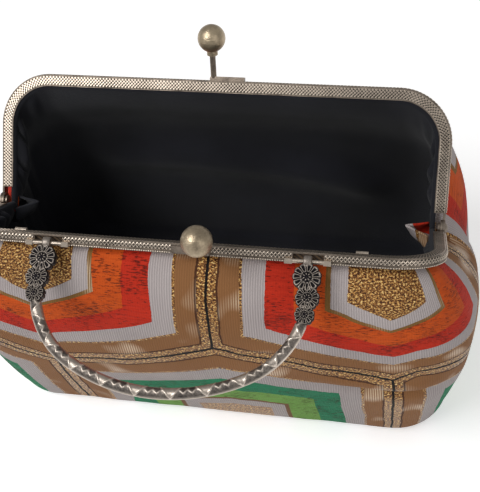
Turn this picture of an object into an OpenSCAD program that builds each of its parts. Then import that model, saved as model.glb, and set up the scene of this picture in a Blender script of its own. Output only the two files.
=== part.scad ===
// Kimono bag: a brocade pouch on a hinged purse frame with a ball clasp and a cast handle.
// X runs along the hinge axis, +Y is the back, Z is up. The origin is the middle of the base.

/* [Frame] */
// Outer width of each frame half
frame_w = 205; // [180:1:240]
// Height of a frame half from the hinge axis to its top face
frame_h = 59; // [50:1:75]
// Outer radius of the frame corners
corner_r = 23; // [16:1:30]
// Depth of the fabric channel in the plane of a half
band_w = 5; // [4.5:0.1:6]
// Thickness of a frame half
band_t = 4; // [3.6:0.1:5]
// Wall of the folded channel
wall = 0.9; // [0.7:0.05:1.1]
// Gap between each half and the closing plane
mating_gap = 0.15; // [0.1:0.05:0.4]
// Width of the groove that runs round the rim
groove_w = 0.4; // [0.3:0.05:0.6]
// Depth of that groove
groove_h = 0.25; // [0.15:0.05:0.35]
// Width of the beaded strip outside that groove
bead_w = 0.9; // [0.7:0.05:1.2]
// Lean of each half from upright when the bag stands open
open_lean = 47.65; // [35:0.5:55]

/* [Hinge] */
// Radius of the round end of a hinge tab
tab_r = 3.6; // [3.2:0.1:4.2]
// Height of the channel ends above the hinge axis
leg_start = 6.4; // [5.5:0.1:9]
// Diameter of the hinge rivet
rivet_d = 2.4; // [2:0.1:3]
// Diameter of the rivet heads
rivet_head_d = 5.4; // [4.6:0.1:6.4]
// Height of the outer rivet head
rivet_head_h = 1.4; // [1:0.1:2]
// Diameter of the flat rivet tails inside the legs
tail_d = 4.8; // [4:0.1:5.6]
// Height of those tails
tail_h = 1; // [0.7:0.1:1.4]
// Running clearance of pins in their bores
pin_clear = 0.06; // [0.02:0.01:0.1]

/* [Clasp] */
// Diameter of the clasp balls
ball_d = 12.2; // [10:0.1:13]
// Gap between the two balls when they pass
ball_gap = 0.7; // [0.4:0.1:2]
// Place of the clasp along the bar
clasp_x = 3.5; // [-10:0.5:10]
// Height of the ball centres above the top of the bar
ball_rise = 18.3; // [15:0.1:24]
// Reach of the balls over the closing plane
ball_reach = 6; // [1:0.1:7]
// Diameter of the clasp stems
stem_d = 2.6; // [2:0.1:3.4]
// Diameter of the collar under a ball
collar_d = 4.8; // [4:0.1:5.6]
// Length of that collar
collar_h = 3; // [2:0.1:4]
// Length of the strip that is brazed to the bar
strip_l = 14; // [10:0.5:20]
// Width of that strip
strip_w = 3; // [2.4:0.1:3.6]
// Thickness of that strip
strip_t = 2.2; // [1.6:0.1:2.6]

/* [Handle] */
// Distance from the side of the frame to each handle eye
eye_in = 49.7; // [44:0.1:58]
// Shift of the handle along the bar
handle_x = -3; // [-6:0.5:6]
// Drop of the handle from the pivot to its middle
handle_drop = 55.8; // [50:0.1:66]
// Diameter of the handle rod
rod_d = 6.2; // [5:0.1:7]
// Radius of the flat middle arc of the handle
middle_arc_r = 74; // [68:1:110]
// How far the handle bows out beyond its eyes
handle_bow = 1.3; // [1:0.1:2]
// Radius of the corner arcs of the handle
corner_arc_r = 36.5; // [28:0.5:40]
// Radius of the upper arcs of the handle
upper_arc_r = 45; // [40:1:90]
// Tilt of the resting handle from hanging straight down
handle_tilt = 74; // [60:1:80]
// Outer diameter of the handle eyes
eye_d = 4.8; // [4.4:0.1:5]
// Width of the handle eyes
eye_w = 3.2; // [2.6:0.1:4]
// Diameter of the neck under an eye
neck_d = 3; // [2.4:0.1:3.6]
// Diameters of the three cast flowers, from the eye down
flower_d = [11, 9.2, 7.6];
// Distances of the three flowers from the pivot
flower_drop = [6.6, 14.6, 21.2];
// Thickness of the flowers
flower_t = 3.6; // [3:0.1:4.4]
// Number of petals
petals = 11; // [8:1:12]
// Diameter of a petal as a share of its flower
petal_share = 0.27; // [0.24:0.01:0.34]
// Diameter of the disc between the petals as a share of the flower
core_share = 0.86; // [0.8:0.01:0.92]
// Height of the boss in the middle of a flower
boss_h = 0.36; // [0.2:0.02:0.6]

/* [Staples and lugs] */
// Diameter of the staple wire
wire_d = 1.8; // [1.5:0.1:2]
// Height of the wire axis above the top of the bar
wire_stand = 1.05; // [1:0.05:1.4]
// Distance of the wire axis from the outer face
wire_set = 0.8; // [0.7:0.05:0.9]
// Clear width of a staple between its feet
staple_gap = 12; // [9:0.5:14]
// Length of a staple foot
foot_l = 3; // [2:0.5:4]
// Distance from the side of the frame to each chain lug
lug_in = 32.5; // [26:0.5:38]
// Length of a chain lug
lug_l = 4.8; // [4:0.1:6]
// Outer diameter of a chain lug
lug_d = 2.2; // [2:0.1:2.4]

/* [Bag] */
// Height of the hinge axis above the ground
hinge_z = 97; // [85:1:120]
// Width of the base
base_w = 220; // [205:1:230]
// Depth of the base
base_depth = 108; // [90:1:120]
// Corner radius of the base
base_r = 24; // [16:1:30]
// Outward bulge of the front and back panels
belly = 17.5; // [10:0.5:24]
// Outward bulge of the sides
side_belly = 18; // [10:0.5:24]
// Thickness of the brocade with its interlining
fabric_t = 1.6; // [1.2:0.1:2]
// Thickness of the lining
lining_t = 1; // [0.8:0.1:1.4]
// Thickness of the base board
board_t = 3; // [2:0.1:4]
// Gap between soft pieces and what they lie against
soft_gap = 0.3; // [0.3:0.05:0.6]
// Depth of the gathers in the lining beside the legs
gather_h = 2; // [0:0.1:3]

/* [Hidden] */

brass = "#8f8672";
bright_brass = "#b3a88c";
fine = 64;
over = 0.01;
half_w = frame_w / 2;
outer_face = mating_gap + band_t;
inner_edge_x = half_w - band_w;
inner_edge_v = frame_h - band_w;
eye_x = half_w - eye_in;
lug_x = half_w - lug_in;

// Hinge layers along X, from the outside in
tab_t = wall;
layer_gap = 0.15;
tail_gap = 0.1;
front_tab_x = half_w - 2 * tab_t - layer_gap;
joggle_gap = 0.8;
joggle_v = tab_r + joggle_gap;

// Clasp
ball_spacing = ball_d + ball_gap;
stem_y = mating_gap + band_t / 2;
stem_foot = strip_t / 2;
stem_lean = atan((ball_reach + stem_y) / (ball_rise - stem_foot));
stem_l = (ball_rise - stem_foot) / cos(stem_lean);
collar_show = 1.4;

// Staples stand on the top of the bar; the eye turns on the wire in a notch of the rim
wire_y = outer_face - wire_set;
wire_v = frame_h + wire_stand;
foot_t = 2.1;
foot_w = 2;
eye_clear = 0.25;
neck_bite = 1;
flower_shift = 0.4;
notch_r = eye_d / 2 + eye_clear;

// Soft pieces
cord_clear = 0.05;
cord_set = 0.2;
fabric_out = outer_face + soft_gap + fabric_t;
lining_set = 0.85;
lining_in = mating_gap + wall + lining_set;
rim_inset_x = 0.5;
rim_bite = 0.2;
lining_rim_inset = 2.2;
floor_z = fabric_t + board_t;
shell_hem = 0.001;
lining_hem = 0.35;
lining_share = 0.8;
columns = 28;
rows = 13;
row_bias = 1.7;
lining_row_bias = 1.5;
leg_share = 0.26;
corner_share = 0.46;
round_share = 0.6;
belly_rise = 0.6;
gather_w = 0.22;
gather_start = 0.08;
gather_count = 13;

// Moves a piece from the upright half to where the open front half holds it
module on_front() {
    translate([0, 0, hinge_z]) rotate([open_lean, 0, 0]) children();
}

// The same for the back half
module on_back() {
    mirror([0, 1, 0]) on_front() children();
}

// Stands a flat outline up, from depth y0 outwards
module upright(y0, t) {
    translate([0, -y0, 0]) rotate([90, 0, 0]) linear_extrude(t) children();
}

// Flat outline of a frame half, moved in from the outer edge
module arch(inset, low) {
    a = half_w - inset;
    flat = half_w - corner_r;
    shoulder = frame_h - corner_r;
    r = corner_r - inset;
    translate([-a, low]) square([2 * a, shoulder - low]);
    translate([-flat, shoulder - over]) square([2 * flat, r + over]);
    for (side = [-1, 1]) {
        intersection() {
            translate([side * flat, shoulder]) circle(r = r, $fn = fine);
            translate([side > 0 ? flat - over : -a - over, shoulder - over]) square(r + 2 * over);
        }
    }
}

// Band between two insets of that outline
module band(from, to, low) {
    difference() {
        arch(from, low);
        arch(to, low - 1);
    }
}

// Folded channel that grips the edge of the fabric, with a groove round its rim
module channel() {
    difference() {
        upright(mating_gap, band_t) band(0, band_w, leg_start);
        upright(mating_gap + wall, band_t - 2 * wall) band(wall, band_w + over, leg_start - over);
        upright(outer_face - bead_w - groove_w, groove_w) band(-over, groove_h, leg_start - over);
    }
}

// Hinge tab that runs on from the outer wall of the leg, with its rivet hole
module tab(x, thick, hole_d) {
    difference() {
        union() {
            translate([x, 0, 0]) rotate([0, 90, 0]) cylinder(r = tab_r, h = thick, $fn = fine);
            translate([x, -outer_face, 0]) cube([thick, outer_face, leg_start + over]);
        }
        translate([x - 1, 0, 0]) rotate([0, 90, 0]) cylinder(d = hole_d, h = thick + 2, $fn = fine);
    }
}

module both_sides() {
    children();
    mirror([1, 0, 0]) children();
}

// Room for the handle eye where it turns round the staple wire
module eye_notch() {
    for (side = [-1, 1]) {
        translate([handle_x + side * eye_x - staple_gap / 2, -outer_face - 1, wire_v - notch_r])
            cube([staple_gap, 1 + outer_face - wire_y + notch_r, notch_r * 2]);
    }
}

module back_frame() {
    color(brass) on_back() {
        channel();
        both_sides() tab(half_w - tab_t, tab_t, rivet_d);
    }
}

module front_frame() {
    color(brass) on_front() {
        difference() {
            channel();
            eye_notch();
        }
        both_sides() {
            tab(front_tab_x, tab_t, rivet_d + 2 * pin_clear);
            translate([front_tab_x, -outer_face, joggle_v])
                cube([half_w - front_tab_x, band_t, leg_start - joggle_v + over]);
        }
    }
}

// Rivet along X: shank through both tabs, a domed head outside and a flat one inside
module hinge_rivet(side) {
    inner_x = front_tab_x - tail_gap;
    inner_h = tail_h;
    dome_r = (pow(rivet_head_d / 2, 2) + pow(rivet_head_h, 2)) / (2 * rivet_head_h);
    dome_x = half_w + rivet_head_h - dome_r;
    color(bright_brass) translate([0, 0, hinge_z]) mirror([side < 0 ? 1 : 0, 0, 0])
        rotate([0, 90, 0]) rotate_extrude($fn = fine) {
            translate([0, inner_x - inner_h]) square([tail_d / 2, inner_h]);
            translate([0, inner_x - over]) square([rivet_d / 2, half_w - inner_x + 2 * over]);
            intersection() {
                translate([0, dome_x]) circle(r = dome_r, $fn = fine);
                translate([0, half_w]) square([rivet_head_d / 2, rivet_head_h]);
            }
        }
}

// Clasp arm: a strip on the bar, a bend, and a stem that leans over the closing plane
module clasp_arm(x, away) {
    translate([x, -stem_y, frame_h]) {
        translate([away > 0 ? 0 : -strip_l, -strip_w / 2, 0]) cube([strip_l, strip_w, strip_t]);
        rotate([90, 0, 0]) translate([0, 0, -strip_w / 2])
            intersection() {
                translate([0, stem_foot, 0]) cylinder(d = strip_t + 1, h = strip_w, $fn = fine);
                translate([-strip_t, 0, 0]) cube([2 * strip_t, 2 * strip_t, strip_w]);
            }
        translate([0, 0, stem_foot]) rotate([-stem_lean, 0, 0]) cylinder(d = stem_d, h = stem_l, $fn = fine);
    }
}

// Clasp ball with its collar, bored for the stem
module clasp_ball(x) {
    collar_low = stem_l - ball_d / 2 - collar_show;
    translate([x, -stem_y, frame_h + stem_foot]) rotate([-stem_lean, 0, 0])
        difference() {
            union() {
                translate([0, 0, stem_l]) sphere(d = ball_d, $fn = fine);
                translate([0, 0, collar_low]) cylinder(d = collar_d, h = collar_h, $fn = fine);
            }
            translate([0, 0, -1]) cylinder(d = stem_d, h = stem_l + 1, $fn = fine);
        }
}

module back_clasp_arm() { color(brass) on_back() clasp_arm(clasp_x - ball_spacing / 2, 1); }
module back_clasp_ball() { color(bright_brass) on_back() clasp_ball(clasp_x - ball_spacing / 2); }
module front_clasp_arm() { color(brass) on_front() clasp_arm(clasp_x + ball_spacing / 2, -1); }
module front_clasp_ball() { color(bright_brass) on_front() clasp_ball(clasp_x + ball_spacing / 2); }

// Handle arcs in the plane of the handle: [centre x, centre drop, radius]
middle_arc_a = asin((eye_x + handle_bow - corner_arc_r) / (middle_arc_r - corner_arc_r));
middle_arc = [0, handle_drop - middle_arc_r, middle_arc_r];
corner_arc = [
    (middle_arc_r - corner_arc_r) * sin(middle_arc_a),
    middle_arc[1] + (middle_arc_r - corner_arc_r) * cos(middle_arc_a),
    corner_arc_r
];
upper_arc = [corner_arc[0] + corner_arc_r - upper_arc_r, corner_arc[1], upper_arc_r];
upper_arc_a = asin((upper_arc[1] - flower_drop[1]) / upper_arc_r);

// Points of an arc of the rod, between two angles measured from straight down
function arc_points(arc, from, to, steps) = [
    for (i = [0 : steps])
        let(a = from + (to - from) * i / steps)
        [arc[0] + arc[2] * sin(a), -(arc[1] + arc[2] * cos(a)), a]
];

// Right half of the rod, from the middle to its top, as [x, z, direction]
half_route = concat(
    arc_points(middle_arc, 0, middle_arc_a, 8),
    [for (p = arc_points(corner_arc, middle_arc_a, 90, 12)) if (p[2] > middle_arc_a) p],
    [for (p = arc_points(upper_arc, 90, 90 + upper_arc_a, 3)) if (p[2] > 90) p]
);
rod_route = concat(
    [for (i = [len(half_route) - 1 : -1 : 1]) [-half_route[i][0], half_route[i][1], -half_route[i][2]]],
    half_route
);

// Rod swept along its route
module rod() {
    sides = 16;
    n = len(rod_route);
    points = [
        for (p = rod_route) for (k = [0 : sides - 1])
            let(r = rod_d / 2, u = r * cos(360 * k / sides))
            [p[0] + u * sin(p[2]), r * sin(360 * k / sides), p[1] - u * cos(p[2])]
    ];
    faces = [
        for (i = [0 : n - 2]) for (k = [0 : sides - 1])
            let(a = i * sides + k, b = i * sides + (k + 1) % sides)
            each [[a, b + sides, b], [a, a + sides, b + sides]],
        [for (k = [0 : sides - 1]) k],
        [for (k = [sides - 1 : -1 : 0]) (n - 1) * sides + k]
    ];
    polyhedron(points, faces, convexity = 6);
}

// Where the handle runs at a given drop, above its widest place
function rod_x(drop) = upper_arc[0] + sqrt(pow(upper_arc_r, 2) - pow(upper_arc[1] - drop, 2));

// Cast flower: a scalloped disc with a raised eye on its outer face
module flower(d) {
    petal_d = d * petal_share;
    rotate([90, 0, 0]) translate([0, 0, -flower_t / 2]) {
        linear_extrude(flower_t - boss_h) {
            circle(d = d * core_share, $fn = 48);
            for (i = [0 : petals - 1]) {
                rotate([0, 0, i * 360 / petals]) translate([(d - petal_d) / 2, 0]) circle(d = petal_d, $fn = 16);
            }
        }
        cylinder(d = d * petal_share, h = flower_t, $fn = 24);
    }
}

// One side of the handle: eye, neck, three flowers and the upper rod
module handle_side() {
    difference() {
        union() {
            translate([eye_x - eye_w / 2, 0, 0]) rotate([0, 90, 0]) cylinder(d = eye_d, h = eye_w, $fn = fine);
            translate([eye_x, 0, neck_bite - flower_drop[0]])
                cylinder(d = neck_d, h = flower_drop[0] - neck_bite - eye_d / 4, $fn = 32);
            for (i = [0 : 2]) {
                translate([i == 0 ? eye_x + flower_shift : rod_x(flower_drop[i]), 0, -flower_drop[i]])
                    flower(flower_d[i]);
            }
        }
        translate([eye_x - eye_w, 0, 0]) rotate([0, 90, 0])
            cylinder(d = wire_d + 2 * pin_clear, h = 2 * eye_w, $fn = fine);
    }
}

module handle() {
    color(brass) on_front() translate([handle_x, -wire_y, wire_v])
        rotate([-handle_tilt - open_lean, 0, 0]) {
            both_sides() handle_side();
            rod();
        }
}

// Staple: a straight wire between two feet that are brazed to the top of the bar
module handle_staple(side) {
    color(brass) on_front() translate([handle_x + side * eye_x, -wire_y, frame_h]) {
        translate([-staple_gap / 2 - foot_l / 2, 0, wire_stand]) rotate([0, 90, 0])
            cylinder(d = wire_d, h = staple_gap + foot_l, $fn = fine);
        for (end = [-1, 1]) {
            translate([end * (staple_gap + foot_l) / 2 - foot_l / 2, -foot_w / 2, 0])
                cube([foot_l, foot_w, foot_t]);
        }
    }
}

// Chain lug: a small tube under the inner edge of the front bar
module chain_lug(side) {
    tube_y = mating_gap + wall / 2;
    color(bright_brass) on_front() translate([side * lug_x - lug_l / 2, -tube_y, inner_edge_v - lug_d / 2])
        rotate([0, 90, 0]) difference() {
            union() {
                cylinder(d = lug_d, h = lug_l, $fn = 32);
                translate([-lug_d / 2, -wall / 2, 0]) cube([lug_d / 2, wall, lug_l]);
            }
            translate([0, 0, -1]) cylinder(d = lug_d / 2, h = lug_l + 2, $fn = 32);
        }
}

// Cord and folded fabric edge jammed in a channel
module paper_cord() {
    cord_t = band_t - 2 * wall - 2 * cord_clear;
    upright(mating_gap + wall + cord_clear, cord_t) band(wall + cord_clear, band_w - cord_set, leg_start + cord_set);
}

module back_paper_cord() { color("#3a2a1c") on_back() paper_cord(); }

module front_paper_cord() {
    color("#3a2a1c") on_front() difference() {
        paper_cord();
        eye_notch();
    }
}

function lerp(a, b, t) = a + (b - a) * t;

// Place on the rim in the plane of a half; w runs from the side seam to the middle
function rim_flat(w, inset_x, out) =
    let(a = inner_edge_x - inset_x,
        top = inner_edge_v - inset_x + rim_bite,
        r = corner_r - band_w,
        low = -out / tan(open_lean))
    w < leg_share ? [a, lerp(low, top - r, w / leg_share)] :
    w < corner_share ?
        let(turn = 90 * (w - leg_share) / (corner_share - leg_share))
        [a - r + r * cos(turn), top - r + r * sin(turn)] :
    [(a - r) * (1 - w) / (1 - corner_share), top];

// The same place in space on the open front half
function rim_point(w, inset_x, out) =
    let(p = rim_flat(w, inset_x, out))
    [p[0], -(p[1] * sin(open_lean) + out * cos(open_lean)),
     hinge_z + p[1] * cos(open_lean) - out * sin(open_lean)];

// Place on the outline of the base, moved in by an inset
function base_flat(w, inset) =
    let(a = base_w / 2 - inset, d = base_depth / 2 - inset, r = base_r - inset)
    w < leg_share ? [a, -(d - r) * w / leg_share] :
    w < corner_share ?
        let(turn = 90 * (w - leg_share) / (corner_share - leg_share))
        [a - r + r * cos(turn), -(d - r) - r * sin(turn)] :
    [(a - r) * (1 - w) / (1 - corner_share), -d];

function smooth(t) = t < 0 ? 0 : t > 1 ? 1 : t * t * (3 - 2 * t);

// Point of a soft wall: w from side seam to middle, t from rim to base
function wall_point(w, t, side, inset_x, out, inset, low, hem, swell, gathers) =
    let(rim = rim_point(w, inset_x, out),
        foot = base_flat(w, inset),
        turn = 90 * smooth(w / round_share),
        most = lerp(side_belly, belly, smooth(w / round_share)) * swell,
        bulge = most * sin(180 * pow(t, belly_rise)) * smooth(t / hem),
        near_leg = smooth(1 - abs(w - gather_w) / gather_w) * pow(1 - t, 2) * smooth(t / gather_start),
        fold = gathers * near_leg * (sin(360 * gather_count * w) - 1) / 2)
    [side * (lerp(rim[0], foot[0], t) + (bulge + fold) * cos(turn)),
     lerp(rim[1], foot[1], t) - (bulge + fold) * sin(turn),
     lerp(rim[2], low, t)];

// Grid of a front wall from the right seam to the left one
function wall_grid(inset_x, out, inset, low, hem, swell, gathers) = [
    for (i = [0 : 2 * columns])
        let(q = 1 - i / columns, w = 1 - abs(q))
        for (j = [0 : rows])
            wall_point(w, pow(j / rows, row_bias), q < 0 ? -1 : 1,
                inset_x, out, inset, low, hem, swell, gathers)
];

// Thick sheet between two grids of the same size
module thick_sheet(outer, inner) {
    n = 2 * columns;
    m = rows + 1;
    k = len(outer);
    faces = [
        for (i = [0 : n - 1]) for (j = [0 : rows - 1])
            let(a = i * m + j, b = a + m)
            each [[a, b, b + 1], [a, b + 1, a + 1], [k + a, k + b + 1, k + b], [k + a, k + a + 1, k + b + 1]],
        for (i = [0 : n - 1])
            let(a = i * m, b = a + m)
            each [[a, k + b, b], [a, k + a, k + b],
                  [a + rows, b + rows, k + b + rows], [a + rows, k + b + rows, k + a + rows]],
        for (j = [0 : rows - 1])
            let(a = j, b = n * m + j)
            each [[a, a + 1, k + a + 1], [a, k + a + 1, k + a],
                  [b, k + b + 1, b + 1], [b, k + b, k + b + 1]]
    ];
    polyhedron(concat(outer, inner), faces, convexity = 8);
}

module soft_panel() {
    thick_sheet(
        wall_grid(rim_inset_x, fabric_out, 0, 0, shell_hem, 1, 0),
        wall_grid(rim_inset_x, fabric_out - fabric_t, fabric_t, 0, shell_hem, 1, 0)
    );
}

module front_panel() { color("#c8502a") soft_panel(); }
module back_panel() { color("#b98a4a") mirror([0, 1, 0]) soft_panel(); }

// Outline of the base, one point for each column of the walls
function base_outline(inset) = [
    for (y = [1, -1]) for (i = [0 : 2 * columns - 1])
        let(q = y * (i / columns - 1), w = 1 - abs(q), p = base_flat(w, inset))
        [(q < 0 ? -1 : 1) * p[0], y * -p[1]]
];

module base_panel() {
    color("#a5773c") linear_extrude(fabric_t) polygon(base_outline(fabric_t + soft_gap / 2));
}

module base_board() {
    color("#6b5a48") translate([0, 0, fabric_t]) linear_extrude(board_t)
        polygon(base_outline(fabric_t + 2 * soft_gap));
}

// Lining: one closed bag with a floor, open along the rim
module lining() {
    n = 4 * columns;
    m = rows + 1;
    outer = lining_ring(lining_in + lining_t, fabric_t + 2 * soft_gap, floor_z);
    inner = lining_ring(lining_in, fabric_t + 2 * soft_gap + lining_t, floor_z + lining_t);
    k = n * m;
    faces = [
        for (i = [0 : n - 1]) for (j = [0 : rows - 1])
            let(a = i * m + j, b = ((i + 1) % n) * m + j)
            each [[a, b, b + 1], [a, b + 1, a + 1], [k + a, k + b + 1, k + b], [k + a, k + a + 1, k + b + 1]],
        for (i = [0 : n - 1])
            let(a = i * m, b = ((i + 1) % n) * m)
            each [[a, k + b, b], [a, k + a, k + b]],
        for (i = [0 : n - 1])
            let(a = i * m + rows, b = ((i + 1) % n) * m + rows)
            each [[a, b, 2 * k], [k + b, k + a, 2 * k + 1]]
    ];
    floor_middles = [[0, 0, floor_z], [0, 0, floor_z + lining_t]];
    color("#16151a") polyhedron(concat(outer, inner, floor_middles), faces, convexity = 8);
}

// Columns of the lining all the way round, front first
function lining_ring(out, inset, low) = [
    for (half = [0, 1]) for (i = [0 : 2 * columns - 1])
        let(q = 1 - i / columns, w = 1 - abs(q))
        for (j = [0 : rows])
            let(p = wall_point(w, pow(j / rows, lining_row_bias), q < 0 ? -1 : 1,
                lining_rim_inset, out, inset, low, lining_hem, lining_share, gather_h))
            half == 0 ? p : [-p[0], -p[1], p[2]]
];

back_frame();
front_frame();
hinge_rivet(-1);  // hinge_rivet_left
hinge_rivet(1);  // hinge_rivet_right
back_clasp_arm();
back_clasp_ball();
front_clasp_arm();
front_clasp_ball();
handle();
handle_staple(-1);  // handle_staple_left
handle_staple(1);  // handle_staple_right
chain_lug(-1);  // chain_lug_left
chain_lug(1);  // chain_lug_right
front_panel();
back_panel();
base_panel();
lining();
base_board();
back_paper_cord();
front_paper_cord();
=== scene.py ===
import bpy
import math
import numpy as np
from mathutils import Matrix, Vector, noise


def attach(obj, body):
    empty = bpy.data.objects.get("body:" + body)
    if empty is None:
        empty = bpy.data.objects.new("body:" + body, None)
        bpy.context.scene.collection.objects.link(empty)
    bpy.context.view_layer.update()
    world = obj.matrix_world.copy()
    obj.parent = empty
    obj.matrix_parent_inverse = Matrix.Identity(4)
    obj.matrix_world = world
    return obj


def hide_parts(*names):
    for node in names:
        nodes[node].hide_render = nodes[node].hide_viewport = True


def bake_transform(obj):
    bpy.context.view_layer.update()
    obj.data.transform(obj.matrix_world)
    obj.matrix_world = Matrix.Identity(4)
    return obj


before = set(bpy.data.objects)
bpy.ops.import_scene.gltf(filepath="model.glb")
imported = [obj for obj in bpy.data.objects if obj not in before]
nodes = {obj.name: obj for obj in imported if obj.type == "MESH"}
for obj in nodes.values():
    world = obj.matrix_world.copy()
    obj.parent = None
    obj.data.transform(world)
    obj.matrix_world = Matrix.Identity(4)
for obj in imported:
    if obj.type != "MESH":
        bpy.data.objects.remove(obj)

scene = bpy.context.scene
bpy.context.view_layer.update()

# sizes shared with the part's source, in metres
bag = {
    "hingeZ": 0.097, "lean": math.radians(47.65), "halfW": 0.1025, "frameH": 0.059,
    "cornerR": 0.023, "bandW": 0.005, "bandT": 0.004, "gap": 0.00015,
    "legStart": 0.0064, "baseW": 0.220, "baseDepth": 0.108, "baseR": 0.024,
    "belly": 0.0180, "sideBelly": 0.018, "backSide": 0.0125, "backRise": 0.85,
    "clothOut": 0.00605, "sideHigh": 0.0888,
    "legShare": 0.26, "cornerShare": 0.46, "roundShare": 0.6, "bellyRise": 0.56,
    "handleX": -0.003, "eyeX": 0.0528, "notchHalf": 0.006, "wireDepth": 0.00335,
    "wireV": 0.06005, "notchR": 0.00265,
}
innerX = bag["halfW"] - bag["bandW"]
innerV = bag["frameH"] - bag["bandW"]
sinLean, cosLean = math.sin(bag["lean"]), math.cos(bag["lean"])
front, back = -1, 1
bodyOf = {front: "front_half", back: "back_half"}


def lerp(a, b, t):
    return a + (b - a) * t


def smooth(t):
    t = min(max(t, 0.0), 1.0)
    return t * t * (3 - 2 * t)


def colour(r, g, b):  # screen values from 0 to 255
    return tuple((c / 255 / 12.92) if c < 11 else ((c / 255 + 0.055) / 1.055) ** 2.4 for c in (r, g, b)) + (1,)


def onHalf(x, depth, v, side):  # a point of a frame half, set out in the open bag
    return Vector((x, side * (v * sinLean + depth * cosLean), bag["hingeZ"] + v * cosLean - depth * sinLean))


def gridFaces(rows, columns, start=0):
    faces = []
    for i in range(rows - 1):
        for j in range(columns - 1):
            a = start + i * columns + j
            faces.append((a, a + columns, a + columns + 1, a + 1))
    return faces


def ringFaces(rings, spokes, start=0):  # closed rings, one after the other
    faces = []
    for i in range(rings - 1):
        for k in range(spokes):
            a, b = start + i * spokes + k, start + i * spokes + (k + 1) % spokes
            faces.append((a, b, b + spokes, a + spokes))
    return faces


def makePiece(name, points, faces, material, values=None, flat=False):
    mesh = bpy.data.meshes.new(name)
    mesh.from_pydata([tuple(p) for p in points], [], faces)
    mesh.validate()
    mesh.polygons.foreach_set("use_smooth", [not flat] * len(mesh.polygons))
    for key, numbers in (values or {}).items():
        mesh.attributes.new(key, "FLOAT", "POINT").data.foreach_set("value", np.array(numbers, np.float32))
    mesh.materials.append(material)
    mesh.update()
    piece = bpy.data.objects.new(name, mesh)
    scene.collection.objects.link(piece)
    return piece


def settle(piece, body, slotName, *replaced):
    if body:
        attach(piece, body)
    if replaced:
        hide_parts(*replaced)
    return piece


def thicken(piece, amount, offset=-1):
    grow = piece.modifiers.new("thickness", "SOLIDIFY")
    grow.thickness, grow.offset = amount, offset
    bpy.context.view_layer.objects.active = piece
    with bpy.context.temp_override(object=piece, active_object=piece, selected_objects=[piece]):
        bpy.ops.object.modifier_apply(modifier=grow.name)


class Graph:
    def __init__(self, tree):
        self.tree = tree

    def add(self, kind, inputs=None, **settings):
        item = self.tree.nodes.new(kind)
        for key, value in settings.items():
            setattr(item, key, value)
        for key, value in (inputs or {}).items():
            self.feed(item.inputs[key], value)
        return item

    def feed(self, socket, value):
        if isinstance(value, bpy.types.NodeSocket):
            self.tree.links.new(value, socket)
        else:
            socket.default_value = value

    def math(self, operation, a, b=0.0, c=0.0):
        item = self.tree.nodes.new("ShaderNodeMath")
        item.operation = operation
        for socket, value in zip(item.inputs, (a, b, c)):
            self.feed(socket, value)
        return item.outputs[0]

    def mix(self, share, a, b, blend="MIX"):
        item = self.tree.nodes.new("ShaderNodeMix")
        item.data_type, item.blend_type, item.clamp_factor = "RGBA", blend, True
        self.feed(item.inputs[0], share)
        self.feed(item.inputs[6], a)
        self.feed(item.inputs[7], b)
        return item.outputs[2]

    def noise(self, vector, scale, detail=2.0, rough=0.5):
        values = {"Vector": vector, "Scale": scale, "Detail": detail, "Roughness": rough}
        return self.add("ShaderNodeTexNoise", values).outputs["Fac"]

    def spread(self, value, low, high):  # stretches low..high to 0..1
        item = self.add("ShaderNodeMapRange", {"Value": value, "From Min": low, "From Max": high})
        return item.outputs[0]

    def ramp(self, share, stops, sharp=True):
        item = self.tree.nodes.new("ShaderNodeValToRGB")
        ramp = item.color_ramp
        ramp.interpolation = "CONSTANT" if sharp else "LINEAR"
        while len(ramp.elements) < len(stops):
            ramp.elements.new(1.0)
        for element, (place, tone) in zip(ramp.elements, sorted(stops, key=lambda s: s[0])):
            element.position, element.color = place, tone
        self.feed(item.inputs[0], share)
        return item.outputs[0]

    def attribute(self, name):
        return self.add("ShaderNodeAttribute", attribute_name=name).outputs["Fac"]

    def point(self, x, y, z=0.0):
        return self.add("ShaderNodeCombineXYZ", {"X": x, "Y": y, "Z": z}).outputs[0]

    def place(self):
        return self.add("ShaderNodeTexCoord").outputs["Object"]


def newGroup(name, inputs, outputs):
    tree = bpy.data.node_groups.new(name, "ShaderNodeTree")
    for label, kind, value in inputs:
        socket = tree.interface.new_socket(name=label, in_out="INPUT", socket_type="NodeSocket" + kind)
        if value is not None:
            socket.default_value = value
    for label, kind in outputs:
        tree.interface.new_socket(name=label, in_out="OUTPUT", socket_type="NodeSocket" + kind)
    graph = Graph(tree)
    return graph, tree.nodes.new("NodeGroupInput").outputs, tree.nodes.new("NodeGroupOutput").inputs


def newMaterial(name, **surface):
    material = bpy.data.materials.new(name)
    material.use_nodes = True
    material.node_tree.nodes.clear()
    graph = Graph(material.node_tree)
    shader = graph.add("ShaderNodeBsdfPrincipled", surface)
    output = graph.add("ShaderNodeOutputMaterial")
    graph.tree.links.new(shader.outputs[0], output.inputs[0])
    return material, graph, shader.inputs


def useGroup(graph, group, inputs):
    return graph.add("ShaderNodeGroup", inputs, node_tree=group.tree).outputs


def bump(graph, height, distance, strength=1.0):
    return graph.add("ShaderNodeBump", {"Height": height, "Distance": distance, "Strength": strength}).outputs[0]


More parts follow.
